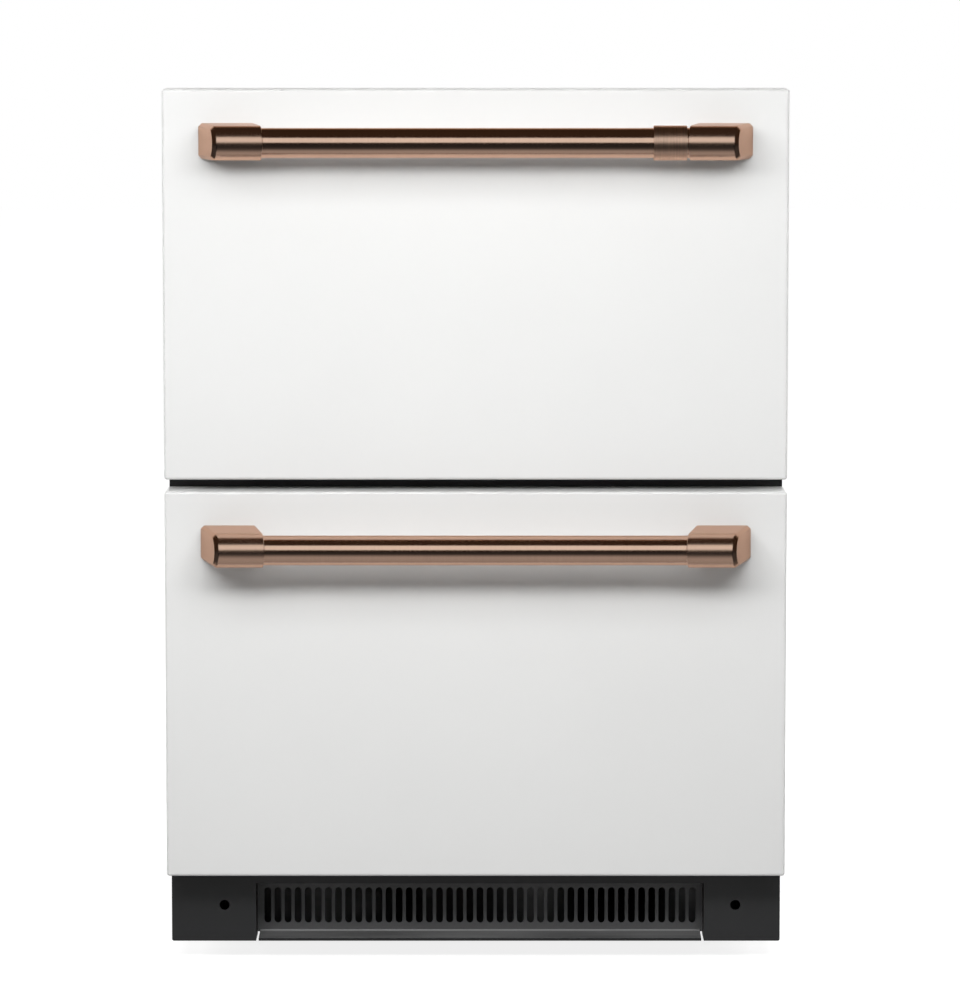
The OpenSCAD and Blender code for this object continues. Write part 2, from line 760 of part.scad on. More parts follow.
module compressor_mounts() color("#222222")
  for (sx = [-1, 1], sy = [-1, 1])
    translate([comp_x + sx * comp_foot_x, comp_y + sy * comp_foot_y, pan_top]) {
      cylinder(r = mount_r, h = mount_h);
      cylinder(r = 4, h = mount_h + comp_plate_t);
      translate([0, 0, mount_h + comp_plate_t]) cylinder(r = 7, h = 4);
    }

// tube ends meet the coils' top tubes and the compressor's stubs
cond_end_z = coil_z[1] - (coil_z[1] - coil_z[0]) / 8;
evap_end_z = evap_z[1] - (evap_z[1] - evap_z[0]) / 8;
cond_in = [coil_x[1] + 6, column_y(coil_y, false), cond_end_z];
cond_out = [coil_x[1] + 6, column_y(coil_y, true), cond_end_z];
evap_in = [evap_x + 6, column_y(evap_y, false), evap_end_z];
evap_out = [evap_x + 6, column_y(evap_y, true), evap_end_z];
loop_z = comp_top + 34;

module refrigerant_tubes() color("#b87345") {
  // discharge line to the condenser
  pipe([[comp_x, comp_y, comp_top + 8], [comp_x, comp_y, loop_z], [drier_x - 14, comp_y, loop_z],
    [drier_x - 14, cond_in[1], loop_z], [drier_x - 14, cond_in[1], cond_in[2]], cond_in], tube_r);
  // liquid line to the drier
  pipe([cond_out, [drier_x, cond_out[1], cond_out[2]], [drier_x, cond_out[1], drier_z[0] - 20],
    [drier_x, drier_y, drier_z[0] - 20], [drier_x, drier_y, drier_z[0]]], tube_r);
  // capillary from the drier up to the evaporator
  pipe([[drier_x, drier_y, drier_z[1]], [drier_x, drier_y, bay_top - 30],
    [capillary_x, drier_y, bay_top - 30], [capillary_x, riser_y, bay_top - 30],
    [capillary_x, riser_y, evap_in[2]], [capillary_x, evap_in[1], evap_in[2]], evap_in], capillary_r);
  // suction line back to the compressor
  pipe([[comp_x + compressor_r + 12, comp_y, comp_plate_z + 82], [riser_x, comp_y, comp_plate_z + 82],
    [riser_x, comp_y, bay_top - 48], [riser_x, riser_y, bay_top - 48],
    [riser_x, riser_y, evap_out[2]], [riser_x, evap_out[1], evap_out[2]], evap_out], tube_r);
}

module filter_drier() color("#c07c4c") translate([drier_x, drier_y, 0]) {
  translate([0, 0, drier_z[0] + drier_cone]) cylinder(r = drier_r, h = drier_len - 2 * drier_cone);
  translate([0, 0, drier_z[0]]) cylinder(r1 = tube_r + 1, r2 = drier_r, h = drier_cone);
  translate([0, 0, drier_z[1] - drier_cone]) cylinder(r1 = drier_r, r2 = tube_r + 1, h = drier_cone);
}

// beside the rear left leg's bush
drip_x = [-leg_x + bush_r + 5, coil_x[1]];
drip_y = [shroud_y + 6, rear_y - 12];
drip_t = 2;
module drain_pan() color("#2b2d30") difference() {
  span(drip_x, drip_y, [pan_top, pan_top + drip_h]);
  span([drip_x[0] + drip_t, drip_x[1] - drip_t], [drip_y[0] + drip_t, drip_y[1] - drip_t],
    [pan_top + drip_t, pan_top + drip_h + 1]);
}

box_inset = 12;
box_set = 22;
box_w = 160;
box_d = 110;
box_h = 62;
box_x = [coil_x[0] + box_inset, coil_x[0] + box_inset + box_w];
box_y = [bay_y + box_set, bay_y + box_set + box_d];
module control_box() color("#d6d2c4") {
  span(box_x, box_y, [bay_top - shell_t - box_h, bay_top - shell_t]);
  // lid with its rim
  span([box_x[0] - 3, box_x[1] + 3], [box_y[0] - 3, box_y[1] + 3],
    [bay_top - shell_t - box_h - 3, bay_top - shell_t - box_h]);
}

// socket for a mains connector, with three flat pins
module power_inlet() color("#1b1b1c") {
  difference() {
    union() {
      plate_y([rear_y - 24, rear_y + shell_t]) inlet_outline(0);
      plate_y([rear_y + shell_t, rear_y + shell_t + 1.5]) inlet_outline(5);
    }
    span([inlet_x - socket_w / 2, inlet_x + socket_w / 2], [rear_y - 21, rear_y + 5],
      [inlet_z - socket_h / 2, inlet_z + socket_h / 2]);
  }
  for (p = [[-6, 2], [6, 2], [0, -2]]) translate([inlet_x + p[0], 0, inlet_z + p[1]])
    span([-1, 1], [rear_y - 22, rear_y - 7], [-2.5, 2.5]);
}

// ---- lights and controls ----

light_y = frame_back_y + 10;
light_w = 180;
light_d = 14;
light_t = 6;
module light_bars() color("#fbfaf2")
  for (o = [upper_open, lower_open])
    span([-light_w / 2, light_w / 2], [light_y, light_y + light_d], [o[1] - light_t, o[1]]);

module button_place(i) {
  translate([button_x - i * button_pitch, 0, control_z]) rotate([90, 0, 0]) children();
}

module control_panel() color("#202124") difference() {
  span([-control_w / 2, control_w / 2], [cab_y - control_out, cab_y + control_in],
    [control_z - control_h / 2, control_z + control_h / 2]);
  for (i = [0 : 2]) button_place(i) translate([0, 0, -cab_y - button_len + control_out - 1.5])
    cylinder(r = button_r + button_play, h = button_len + 5);
  // recessed temperature display
  span([-control_w / 2 + 10, -control_w / 2 + 80], [cab_y - control_out - 1, cab_y - control_out + 0.8],
    [control_z - control_h / 2 + 3, control_z + control_h / 2 - 3]);
}

module button(i) {
  button_place(i) translate([0, 0, -cab_y + control_out + button_out - button_len])
    cylinder(r = button_r, h = button_len);
}

module power_button() color("#dcdcdc") button(0);
module warmer_button() color("#dcdcdc") button(1);
module colder_button() color("#dcdcdc") button(2);

// ---- brackets and screws ----

module counter_brackets() color("#8b8e92") both_sides() difference() {
  translate([bracket_x - bracket_w / 2, 0, 0]) {
    span([0, bracket_w], [bracket_y, bracket_y + bracket_foot], [cab_top, cab_top + bracket_t]);
    span([0, bracket_w], [bracket_y + bracket_foot - bracket_t, bracket_y + bracket_foot],
      [cab_top, bracket_top]);
    span([0, bracket_w], [bracket_y + bracket_foot - bracket_t, bracket_y + bracket_len],
      [bracket_top - bracket_t, bracket_top]);
  }
  for (y = bracket_holes) translate([bracket_x, bracket_y + y, cab_top + 5])
    cylinder(r = bracket_hole_r, h = 20);
  bracket_screw_holes(screw_r + screw_play);
}

module cabinet_screws() color("#c9ccd0") {
  both_sides() for (dx = [-12, 12]) translate([bracket_x + dx, bracket_y + 15, 0]) {
    translate([0, 0, cab_top + bracket_t]) cylinder(r = head_r, h = head_t);
    translate([0, 0, cab_top - 8]) cylinder(r = screw_r, h = 8 + bracket_t + e);
  }
  for (x = cover_screw_x, z = cover_screw_z) {
    rod_y(x, [rear_y + shell_t, rear_y + rear_inset], z, head_r);
    rod_y(x, [rear_y - 8, rear_y + shell_t + e], z, screw_r);
  }
}

// ---- levelling legs ----

module leg(x, y) translate([x, y, 0]) {
  cylinder(r1 = foot_r, r2 = foot_r - 2, h = foot_t);
  translate([0, 0, foot_t - e]) cylinder(r = stud_r + 3.5, h = 7, $fn = 6);
  cylinder(r = stud_r, h = stud_top);
}

module front_left_leg() color("#5a5d61") leg(-leg_x, leg_y[0]);
module front_right_leg() color("#5a5d61") leg(leg_x, leg_y[0]);
module rear_left_leg() color("#5a5d61") leg(-leg_x, leg_y[1]);
module rear_right_leg() color("#5a5d61") leg(leg_x, leg_y[1]);

// ---- drawer fronts; z is the bottom edge of the front ----

module handle_screw_holes(z, y, r) {
  for (sx = [-1, 1], sz = [-1, 1])
    rod_y(sx * handle_screw_x, y, z + front_h - bar_drop + sz * handle_screw_z, r);
}

inside_r = max(front_r - skin_t, 0.5);

module front_skin(z) difference() {
  front_slab([-front_w / 2, front_w / 2], [face_y, front_back_y], [z, z + front_h], front_r);
  front_slab([-front_w / 2 + skin_t, front_w / 2 - skin_t], [face_y + skin_t, front_back_y + 1],
    [z + skin_t, z + front_h - skin_t], inside_r);
  handle_screw_holes(z, [face_y - 1, face_y + skin_t + 1], handle_screw_r + screw_play);
}

module plateau(open, grow, y) {
  plate_y(y) round_rect([-open_x + plateau_gap - grow, open_x - plateau_gap + grow],
    [open[0] + plateau_gap - grow, open[1] - plateau_gap + grow], opening_r + grow);
}

module bin_screw_holes(open, y, r) {
  both_sides() for (z = bin_screw_z) rod_y(bin_screw_x, y, open[0] + bin_gap + z, r);
}

module front_foam(z, open) difference() {
  union() {
    front_slab([-front_w / 2 + skin_t, front_w / 2 - skin_t],
      [face_y + skin_t, front_back_y - panel_t], [z + skin_t, z + front_h - skin_t], inside_r + 0.5);
    plateau(open, -panel_t, [front_back_y - panel_t - e, plateau_y - panel_t]);
  }
  handle_screw_holes(z, [face_y, face_y + skin_t + head_t + 3], 5 + 1);
  bin_screw_holes(open, [plateau_y - 12, plateau_y], screw_r + 1);
}

module inner_panel(z, open) difference() {
  union() {
    plate_y([front_back_y - panel_t, front_back_y])
      round_rect([-front_w / 2 + skin_t, front_w / 2 - skin_t],
        [z + skin_t, z + front_h - skin_t], inside_r + 0.5);
    plateau(open, 0, [front_back_y - e, plateau_y]);
  }
  plateau(open, -panel_t, [front_back_y - panel_t - 1, plateau_y - panel_t]);
  bin_screw_holes(open, [plateau_y - 12, plateau_y + 1], screw_r + screw_play);
}

module gasket(open) plate_y([front_back_y, cab_y - seal_clear]) difference() {
  round_rect([-open_x - seal_w, open_x + seal_w], [open[0] - seal_w, open[1] + seal_w],
    opening_r + seal_w);
  round_rect([-open_x, open_x], open, opening_r);
}

// ---- handles ----

// end view of a post: flat base on the front, half-round nose concentric with the bar
module post_profile(inset) {
  polygon([[0, post_base_h / 2 - inset], [0, -post_base_h / 2 + inset],
    [-bar_out, -post_r + inset], [-bar_out, post_r - inset]]);
  translate([-bar_out, 0]) circle(post_r - inset);
}

// plan view of a post between two leaning faces; x is where each meets the front
module post_plan(x_in, x_out, lean_in, lean_out) {
  polygon([[x_in, 0], [x_out, 0], [x_out - lean_out, -handle_reach],
    [x_in - lean_in, -handle_reach]]);
}

module post_slice(x_in, x_out, lean_in, inset) intersection() {
  plate_x([x_in - lean_in - 1, x_out + 1]) post_profile(inset);
  plate_z([-post_base_h, post_base_h]) post_plan(x_in, x_out, lean_in, post_lean_out);
}

post_out_x = handle_len / 2;
post_in_x = post_out_x - post_base_w;
bar_end_x = post_in_x - post_lean_in * bar_out / handle_reach + bar_insert;

module post(z) translate([0, face_y, z]) difference() {
  union() {
    post_slice(post_in_x, post_out_x - post_chamfer, post_lean_in, 0);
    // chamfered end
    hull() {
      post_slice(post_out_x - post_chamfer - 0.1, post_out_x - post_chamfer, post_lean_out, 0, $fn = 32);
      post_slice(post_out_x - 0.1, post_out_x, post_lean_out, post_chamfer, $fn = 32);
    }
  }
  rod_x([post_in_x - post_lean_in - 5, bar_end_x + 0.5], -bar_out, 0, bar_d / 2 + bar_play);
  for (sz = [-1, 1])
    rod_y(handle_screw_x, [-handle_screw_in, 1], sz * handle_screw_z, handle_screw_r + bar_play);
}

module handle_posts(z) both_sides() post(z + front_h - bar_drop);

module handle_bar(z) difference() {
  rod_x([-bar_end_x, bar_end_x], bar_y, z + front_h - bar_drop, bar_d / 2);
  rod_x([-bar_end_x - 1, bar_end_x + 1], bar_y, z + front_h - bar_drop, bar_d / 2 - bar_t);
}

collar_x = post_in_x - post_lean_in - collar_groove;
module upper_handle_collar() color("#a9714f") difference() {
  rod_x([collar_x - collar_w, collar_x], bar_y, upper_z + front_h - bar_drop, post_r);
  rod_x([collar_x - collar_w - 1, collar_x + 1], bar_y, upper_z + front_h - bar_drop,
    bar_d / 2 + bar_play);
}

// ---- drawers ----

module bin(open, depth, height) difference() {
  plate_z([open[0] + bin_gap, open[0] + bin_gap + height])
    round_rect([-bin_x, bin_x], [plateau_y, plateau_y + depth], bin_r);
  plate_z([open[0] + bin_gap + bin_t, open[0] + bin_gap + height + 1])
    round_rect([-bin_x + bin_t, bin_x - bin_t], [plateau_y + bin_t, plateau_y + depth - bin_t],
      bin_r - bin_t);
  bin_screw_holes(open, [plateau_y - 1, plateau_y + bin_t + 1], screw_r + screw_play);
}

module drawer_screws(z, open) {
  // handle screws, heads inside the front
  for (sx = [-1, 1], sz = [-1, 1]) translate([0, 0, z + front_h - bar_drop + sz * handle_screw_z]) {
    rod_y(sx * handle_screw_x, [face_y + skin_t, face_y + skin_t + head_t + 1], 0, 5);
    rod_y(sx * handle_screw_x, [face_y - handle_screw_in + 1, face_y + skin_t + e], 0, handle_screw_r);
  }
  // bin screws, heads inside the bin
  both_sides() for (sz = bin_screw_z) translate([bin_screw_x, 0, open[0] + bin_gap + sz]) {
    rod_y(0, [plateau_y + bin_t, plateau_y + bin_t + head_t], 0, head_r);
    rod_y(0, [plateau_y - 10, plateau_y + bin_t + e], 0, screw_r);
  }
}

module upper_front_skin() color("#eceeee") front_skin(upper_z);
module lower_front_skin() color("#eceeee") front_skin(lower_z);
module upper_front_foam() color("#e8dcae") front_foam(upper_z, upper_open);
module lower_front_foam() color("#e8dcae") front_foam(lower_z, lower_open);
module upper_inner_panel() color("#f2f3f3") inner_panel(upper_z, upper_open);
module lower_inner_panel() color("#f2f3f3") inner_panel(lower_z, lower_open);
module upper_gasket() color("#26282a") gasket(upper_open);
module lower_gasket() color("#26282a") gasket(lower_open);
module upper_handle_bar() color("#a9714f") handle_bar(upper_z);
module lower_handle_bar() color("#a9714f") handle_bar(lower_z);
module upper_handle_posts() color("#b27a58") handle_posts(upper_z);
module lower_handle_posts() color("#b27a58") handle_posts(lower_z);
module upper_bin() color("#dfe4e6") bin(upper_open, upper_slide_len, upper_bin_h);
module lower_bin() color("#dfe4e6") bin(lower_open, lower_slide_len, lower_bin_h);
module upper_drawer_screws() color("#c9ccd0") drawer_screws(upper_z, upper_open);
module lower_drawer_screws() color("#c9ccd0") drawer_screws(lower_z, lower_open);

divider_y = plateau_y + upper_slide_len / 2;
divider_foot = 12;
module upper_divider() color("#c8d2d6") {
  floor_z = upper_open[0] + bin_gap + bin_t;
  span([-bin_x + bin_t, bin_x - bin_t], [divider_y - divider_t / 2, divider_y + divider_t / 2],
    [floor_z, floor_z + divider_h]);
  // foot on the bin floor
  span([-bin_x + bin_t, bin_x - bin_t], [divider_y - divider_foot, divider_y + divider_foot],
    [floor_z, floor_z + divider_t]);
}

outer_wrapper();
rear_panel();
machine_cover();
base_pan();
machine_bay_sheet();
insulation();
upper_liner();
lower_liner();
front_frame();
kick_plate();
kick_grille();
slide_rails();
evaporator();
evaporator_cover();
evaporator_fan_motor();
evaporator_fan();
compressor();
compressor_mounts();
condenser();
condenser_shroud();
condenser_fan_motor();
condenser_fan();
filter_drier();
refrigerant_tubes();
drain_pan();
control_box();
power_inlet();
light_bars();
control_panel();
power_button();
warmer_button();
colder_button();
counter_brackets();
cabinet_screws();
front_left_leg();
front_right_leg();
rear_left_leg();
rear_right_leg();
upper_front_skin();
upper_front_foam();
upper_inner_panel();
upper_gasket();
upper_handle_bar();
upper_handle_posts();
upper_handle_collar();
upper_bin();
upper_divider();
upper_drawer_slides();
upper_drawer_screws();
upper_middle_slides();
lower_front_skin();
lower_front_foam();
lower_inner_panel();
lower_gasket();
lower_handle_bar();
lower_handle_posts();
lower_bin();
lower_drawer_slides();
lower_drawer_screws();
lower_middle_slides();
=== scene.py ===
import json
import math

import bmesh
import bpy
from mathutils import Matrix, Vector


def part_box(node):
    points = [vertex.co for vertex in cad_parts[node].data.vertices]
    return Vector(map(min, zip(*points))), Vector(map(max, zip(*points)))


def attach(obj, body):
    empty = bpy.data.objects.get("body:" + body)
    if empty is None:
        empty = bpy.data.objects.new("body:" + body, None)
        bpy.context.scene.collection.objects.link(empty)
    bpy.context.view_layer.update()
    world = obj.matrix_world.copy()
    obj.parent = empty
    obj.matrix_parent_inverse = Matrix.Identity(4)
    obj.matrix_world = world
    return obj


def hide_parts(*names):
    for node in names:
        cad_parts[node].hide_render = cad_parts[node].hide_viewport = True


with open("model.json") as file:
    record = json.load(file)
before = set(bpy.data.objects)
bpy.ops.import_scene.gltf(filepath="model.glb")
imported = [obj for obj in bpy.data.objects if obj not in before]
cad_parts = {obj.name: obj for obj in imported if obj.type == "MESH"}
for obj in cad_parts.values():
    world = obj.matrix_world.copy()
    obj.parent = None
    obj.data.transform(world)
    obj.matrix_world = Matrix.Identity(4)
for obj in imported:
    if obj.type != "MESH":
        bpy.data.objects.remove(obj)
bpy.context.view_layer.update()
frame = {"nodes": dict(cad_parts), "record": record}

nodes = frame["nodes"]
face_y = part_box("upper_front_skin")[0][1]      # outer face of the drawer fronts
scene = bpy.context.scene


# ---- camera ----

CAMERA_X = 0.010
CAMERA_BACK = 4.28        # in front of the drawer fronts
CAMERA_Z = 0.952
CAMERA_DOWN = math.radians(5.36)
FOCAL_MM = 160.2
SENSOR_MM = 36.0
SHIFT_X = -0.006
SHIFT_Y = -0.09
SEES_TO = 60              # far past the stage floor's edge

cam = bpy.data.objects.new("camera", bpy.data.cameras.new("camera"))
scene.collection.objects.link(cam)
cam.location = (CAMERA_X, face_y - CAMERA_BACK, CAMERA_Z)
cam.rotation_euler = (math.radians(90) - CAMERA_DOWN, 0, 0)
cam.data.lens = FOCAL_MM
cam.data.sensor_width = SENSOR_MM
cam.data.shift_x = SHIFT_X
cam.data.shift_y = SHIFT_Y
cam.data.clip_end = SEES_TO
scene.camera = cam


# ---- shader nodes ----

def feed(tree, socket, value):
    """Link another node's output to the socket, or set a plain value on it."""
    if isinstance(value, bpy.types.NodeSocket):
        tree.links.new(value, socket)
    else:
        socket.default_value = value


def node_maker(tree):
    """A function that adds a node; in_NAME or in_NUMBER feeds that input."""
    def node(kind, **values):
        made = tree.nodes.new(kind)
        for key, value in values.items():
            if key.startswith("in_"):
                which = key[3:]
                feed(tree, made.inputs[int(which) if which.isdigit() else which], value)
            else:
                setattr(made, key, value)
        return made

    return node


def place(node, scale=(1, 1, 1)):
    """Object-space coordinates, stretched."""
    coords = node("ShaderNodeTexCoord").outputs["Object"]
    return node("ShaderNodeMapping", in_Vector=coords, in_Scale=scale).outputs["Vector"]


def noise(node, scale, stretch=(1, 1, 1), detail=3.0, rough=0.5):
    return node("ShaderNodeTexNoise", in_Vector=place(node, stretch), in_Scale=scale,
                in_Detail=detail, in_Roughness=rough).outputs["Fac"]


def cells(node, scale, output):
    return node("ShaderNodeTexVoronoi", in_Vector=place(node), in_Scale=scale).outputs[output]


def map_range(node, value, from_low, from_high, to_low=0.0, to_high=1.0):
    return node("ShaderNodeMapRange", in_Value=value, in_1=from_low, in_2=from_high,
                in_3=to_low, in_4=to_high).outputs["Result"]


def vary(node, value, middle, low=0.85, high=1.15):
    """A value from 0 to 1 turned into a share of the middle, from low to high."""
    return map_range(node, value, 0.0, 1.0, middle * low, middle * high)


def mix_values(node, factor, a, b):
    return node("ShaderNodeMix", data_type="FLOAT", in_0=factor, in_2=a, in_3=b).outputs[0]


def mix_colours(node, factor, a, b):
    return node("ShaderNodeMix", data_type="RGBA", in_0=factor, in_6=a, in_7=b).outputs[2]


def bump(node, height, strength, distance=0.0002):
    return node("ShaderNodeBump", in_Height=height, in_Strength=strength,
                in_Distance=distance).outputs["Normal"]


def seen_directly(node, path):
    """1 for camera and transmission rays."""
    return node("ShaderNodeMath", operation="MAXIMUM", in_0=path.outputs["Is Camera Ray"],
                in_1=path.outputs["Is Transmission Ray"]).outputs[0]


def grey(level):
    return (level, level, level)


def shade(colour, factor):
    return tuple(min(1.0, c * factor) for c in colour)


def rgba(colour):
    return (*colour, 1)


def ramp(node, fac, stops):
    """A colour ramp with stops of (position, (r, g, b))."""
    made = node("ShaderNodeValToRGB", in_Fac=fac)
    elements = made.color_ramp.elements
    while len(elements) < len(stops):
        elements.new(0.5)
    for element, (position, colour) in zip(elements, stops):
        element.position = position
        element.color = rgba(colour)
    return made.outputs["Color"]


def shades(node, fac, colour, dark, light, low=0.3, high=0.7):
    """The colour times dark where fac is low, and times light where it is high."""
    return ramp(node, fac, [(low, shade(colour, dark)), (high, shade(colour, light))])


# ---- materials ----

def new_material(name):
    """An empty node material, its tree, its shader and its node maker."""
    mat = bpy.data.materials.new(name)
    mat.use_nodes = True
    tree = mat.node_tree
    return mat, tree, tree.nodes["Principled BSDF"], node_maker(tree)


def dress(tree, shader, inputs):
    for name, value in inputs.items():
        feed(tree, shader.inputs[name], value)


def painted(name, colour, rough, peel, spread=0.03, peel_scale=700):
    """Sprayed or moulded surface: faint cloudiness, orange peel and uneven gloss."""
    mat, tree, shader, node = new_material(name)
    cloud = noise(node, 6.0, detail=4.0)
    smear = noise(node, 25.0, detail=5.0)
    dress(tree, shader, {
        "Base Color": shades(node, cloud, colour, 1 - spread, 1 + spread),
        "Roughness": vary(node, smear, rough),
        "Normal": bump(node, noise(node, peel_scale, detail=1.0), peel),
    })
    return mat


def brushed(name, colour, rough, stretch, grain=1.0, spread=0.06, edge=(1, 1, 1)):
    """Metal with fine lines; the lines are short along the axes where stretch is large."""
    mat, tree, shader, node = new_material(name)
    lines = noise(node, 60.0, stretch, detail=6.0, rough=0.65)
    mixed = mix_values(node, 0.35, lines, noise(node, 9.0, detail=3.0))
    dress(tree, shader, {
        "Base Color": shades(node, mixed, colour, 1 - spread, 1 + spread),
        "Roughness": vary(node, lines, rough, 0.8, 1.25),
        "Normal": bump(node, lines, 0.12 * grain),
        "Metallic": 1.0,
        "Specular Tint": rgba(edge),
    })
    return mat


def galvanised(name, colour, rough):
    """Zinc-coated sheet with its spangle."""
    mat, tree, shader, node = new_material(name)
    spangle = node("ShaderNodeSeparateColor", in_Color=cells(node, 90.0, "Color")).outputs[0]
    dress(tree, shader, {
        "Base Color": shades(node, spangle, colour, 0.86, 1.1, low=0.0, high=1.0),
        "Roughness": vary(node, spangle, rough, 0.8, 1.25),
        "Normal": bump(node, noise(node, 400.0), 0.05),
        "Metallic": 0.9,
    })
    return mat


GRILLE_SHEET = 0.0012                         # the slotted panel's thickness
LEDGE_BEGINS, LEDGE_WHOLE = 0.0002, 0.001     # in front of the slotted panel: where the ledge's painted light begins
FOLD_WHOLE, FOLD_ENDS = 0.005, 0.008          # in front of it too: the painted highlight line by the fold
LIP_WHOLE, LIP_ENDS = 0.0004, 0.0014          # behind the ledge's front edge: where the painted shadow lies
# the colour of the painted shadow along the ledge's front edge
PAINTED_LIP_SHADOW = (0.012, 0.012, 0.013)


def ledge_with_painted_light(name, colour, painted_light_colour, rough):
    """Grille paint. The ledge is painted lighter in long streaks, as painted light from above, with
    a painted highlight along its fold, and its front edge is painted black as a painted shadow."""
    mat, tree, shader, node = new_material(name)
    lip_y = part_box("kick_grille")[0][1]
    fold_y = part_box("kick_grille")[1][1] - GRILLE_SHEET
    depth = node("ShaderNodeSeparateXYZ", in_Vector=place(node)).outputs["Y"]
    # masks for the ledge's painted light, the fold's painted highlight and the front edge's painted
    # shadow
    on_ledge = map_range(node, depth, fold_y - LEDGE_BEGINS, fold_y - LEDGE_WHOLE)
    fold_highlight_mask = map_range(node, depth, fold_y - FOLD_ENDS, fold_y - FOLD_WHOLE)
    lip_shadow_mask = map_range(node, depth, lip_y + LIP_ENDS, lip_y + LIP_WHOLE)

    panel = shades(node, noise(node, 6.0, detail=4.0), colour, 0.9, 1.1)
    streaks = noise(node, 70.0, (0.12, 1.0, 1.0), detail=5.0)
    # painted light: the upward-facing ledge is lighter, in streaks
    ledge = shades(node, streaks, painted_light_colour, 0.62, 1.15)
    # painted highlight: a light line along the fold
    lit_with_fold_highlight = mix_colours(node, fold_highlight_mask, ledge, rgba(shade(painted_light_colour, 2.9)))
    both = mix_colours(node, on_ledge, panel, lit_with_fold_highlight)
    dress(tree, shader, {
        # painted shadow: black along the ledge's front edge
        "Base Color": mix_colours(node, lip_shadow_mask, both, rgba(PAINTED_LIP_SHADOW)),
        "Roughness": vary(node, streaks, rough),
        "Normal": bump(node, noise(node, 900.0, detail=1.0), 0.12),
    })
    return mat


def foamed(name, colour):
    """Rigid foam: open pores and blotches."""
    mat, tree, shader, node = new_material(name)
    blotches = noise(node, 14.0, detail=6.0)
    dress(tree, shader, {
        "Base Color": shades(node, blotches, colour, 0.86, 1.06, low=0.25, high=0.75),
        "Roughness": 0.9,
        "Normal": bump(node, cells(node, 600.0, "Distance"), 0.6, distance=0.0008),
    })
    return mat


def clear_plastic(name, colour):
    """Slightly cloudy see-through plastic."""
    mat, tree, shader, node = new_material(name)
    dress(tree, shader, {
        "Base Color": shades(node, noise(node, 8.0), colour, 0.95, 1.0),
        "Roughness": map_range(node, noise(node, 30.0, detail=5.0), 0.0, 1.0, 0.16, 0.26),
        "Normal": bump(node, noise(node, 220.0), 0.04),
        "Transmission Weight": 0.35,
        "IOR": 1.49,
    })
    return mat


COPPER = (0.61, 0.40, 0.30)
COPPER_EDGE = (0.86, 0.69, 0.59)      # its tint at grazing angles
RING_WISE = (26.0, 0.5, 0.5)          # brushed round the bars
TURNED = (13.0, 0.5, 0.5)             # coarser rings

satin_copper = brushed("satin_copper", COPPER, 0.24, RING_WISE, grain=0.16, spread=0.03,
                       edge=COPPER_EDGE)

BY_SLOT = {
    "white_paint": painted("white_paint", (0.80, 0.805, 0.80), 0.34, 0.05, spread=0.008),
    "copper_finish": brushed("brushed_copper", COPPER, 0.16, RING_WISE, grain=0.7, spread=0.09,
                             edge=COPPER_EDGE),
    "black_sheet": painted("black_paint", (0.018, 0.018, 0.019), 0.42, 0.12, spread=0.12,
                           peel_scale=900),
    "zinc_sheet": galvanised("zinc_sheet", (0.56, 0.57, 0.58), 0.36),
    "zinc_steel": brushed("zinc_steel", (0.62, 0.63, 0.64), 0.30, (0.6, 14.0, 14.0), grain=0.5),
    "white_plastic": painted("white_plastic", (0.82, 0.82, 0.81), 0.42, 0.10, spread=0.012,
                             peel_scale=500),
    "bin_plastic": clear_plastic("bin_plastic", (0.86, 0.90, 0.92)),
    "grey_plastic": painted("grey_plastic", (0.42, 0.41, 0.39), 0.5, 0.15),
    "dark_plastic": painted("dark_plastic", (0.025, 0.025, 0.027), 0.48, 0.2, spread=0.1,
                            peel_scale=1100),
    "light_cover": painted("light_cover", (0.90, 0.89, 0.84), 0.35, 0.05, spread=0.01),
    "rubber": painted("gasket_rubber", (0.035, 0.035, 0.037), 0.62, 0.25, spread=0.1,
                      peel_scale=1400),
    "foam": foamed("rigid_foam", (0.82, 0.72, 0.46)),
    "black_iron": painted("black_iron", (0.014, 0.014, 0.016), 0.34, 0.3, spread=0.15,
                          peel_scale=350),
    "fin_aluminium": brushed("fin_aluminium", (0.68, 0.69, 0.70), 0.28, (1.0, 1.0, 9.0), grain=0.5),
    "copper_tube": brushed("drawn_copper", (0.62, 0.33, 0.20), 0.28, (3.0, 3.0, 3.0), grain=0.4,
                           spread=0.14),
}
BY_NODE = {
    # the kick plate's ledge gets painted light, a painted highlight along its fold and a painted
    # shadow at its front edge
    "kick_grille": ledge_with_painted_light("grille_paint", (0.098, 0.098, 0.100), (0.162, 0.162, 0.164), 0.46),
    "upper_handle_collar": brushed("turned_copper", COPPER, 0.32, TURNED, grain=2.6, spread=0.26,
                                   edge=COPPER_EDGE),
}
slot_of = {s["node"]: s["material_slot"] for s in frame["record"]["subparts"]}
for name, obj in nodes.items():
    obj.data.materials.clear()
    obj.data.materials.append(BY_NODE.get(name, BY_SLOT[slot_of[name]]))


# ---- handle posts ----

POST_WIDTH = 0.0525           # at the drawer front
POST_LEAN_IN = 0.013          # its inner side, over its whole reach
POST_LEAN_OUT = 0.0185        # its mitred outer end, over its whole reach
POST_CHAMFER = 0.0034         # round the outer end
POST_BEVEL = 0.0005           # on every sharp edge
NOSE_STEPS = 40
SHARP = math.radians(25)


def post_outline(base, nose, out):
    """A post's closed outline as (forward, up), from the top of its base round the nose."""
    # its sides run from the base's corners and touch the nose's circle
    angle = math.atan2(base, out) + math.acos(min(1.0, nose / math.hypot(out, base)))
    start = math.pi - angle
    rim = []
    for i in range(NOSE_STEPS + 1):
        a = start - 2 * start * i / NOSE_STEPS
        rim.append((out + nose * math.cos(a), nose * math.sin(a)))
    return [(0.0, base)] + rim + [(0.0, -base)]


